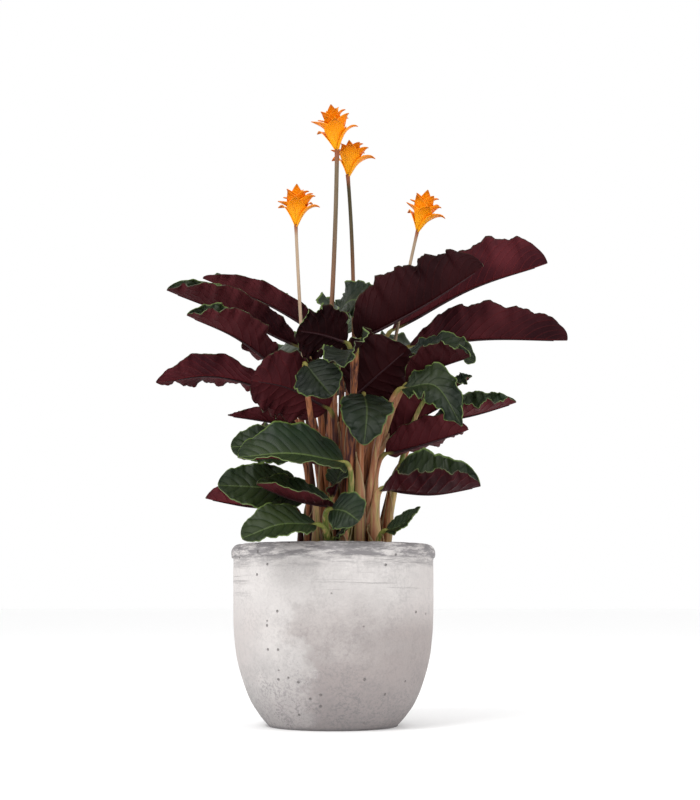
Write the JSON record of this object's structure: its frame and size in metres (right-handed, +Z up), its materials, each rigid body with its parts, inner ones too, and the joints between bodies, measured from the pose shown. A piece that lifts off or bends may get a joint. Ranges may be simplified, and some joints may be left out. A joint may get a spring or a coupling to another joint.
{
  "type": "potted calathea plant",
  "caption": "Leafy potted plant: wavy lance-shaped leaves on upright stems, orange flower heads on slender stalks, in a round-bellied concrete-look pot.",
  "frame": {"origin": "centre of the underside of the pot's foot, on the surface it stands on", "axes": "+Z up along the pot's axis, -Y towards the viewer of the picture, +X to the viewer's right"},
  "size_m": [0.3533, 0.2491, 0.5297],
  "materials": {
    "pot": "matt, mottled pale grey concrete look with a worn darker lip",
    "soil": "crumbly dark potting soil",
    "leaf": "satin: dark green quilted top, wine-red underside, yellow-green margin",
    "flower_stalk": "satin, olive to brown",
    "flower": "satin, bright orange bracts"
  },
  "bodies": {
    "root": {"flower_head_left": "flower", "flower_head_middle": "flower", "flower_head_right": "flower", "flower_head_tall": "flower", "flower_stalk_left": "flower_stalk", "flower_stalk_middle": "flower_stalk", "flower_stalk_right": "flower_stalk", "flower_stalk_tall": "flower_stalk", "leaf_back_high": "leaf", "leaf_back_inner": "leaf", "leaf_back_left": "leaf", "leaf_back_low": "leaf", "leaf_back_low_left": "leaf", "leaf_back_low_right": "leaf", "leaf_back_right": "leaf", "leaf_centre_dark": "leaf", "leaf_centre_glossy": "leaf", "leaf_centre_point": "leaf", "leaf_centre_shade": "leaf", "leaf_centre_tongue": "leaf", "leaf_centre_wine": "leaf", "leaf_front_folded": "leaf", "leaf_front_large": "leaf", "leaf_front_low": "leaf", "leaf_front_round": "leaf", "leaf_front_sprig": "leaf", "leaf_front_upright": "leaf", "leaf_left_behind": "leaf", "leaf_left_broad": "leaf", "leaf_left_curled": "leaf", "leaf_left_drooping": "leaf", "leaf_left_flat": "leaf", "leaf_left_glossy": "leaf", "leaf_left_high_back": "leaf", "leaf_left_high_front": "leaf", "leaf_left_wine": "leaf", "leaf_right_crest": "leaf", "leaf_right_green_tip": "leaf", "leaf_right_high_back": "leaf", "leaf_right_high_front": "leaf", "leaf_right_long": "leaf", "leaf_right_low": "leaf", "leaf_right_rising": "leaf", "leaf_right_ruffled": "leaf", "leaf_right_spoon": "leaf", "leaf_right_sprout": "leaf", "leaf_right_tricolour": "leaf", "leaf_right_under": "leaf", "pot": "pot", "soil": "soil"}
  },
  "joints": []
}
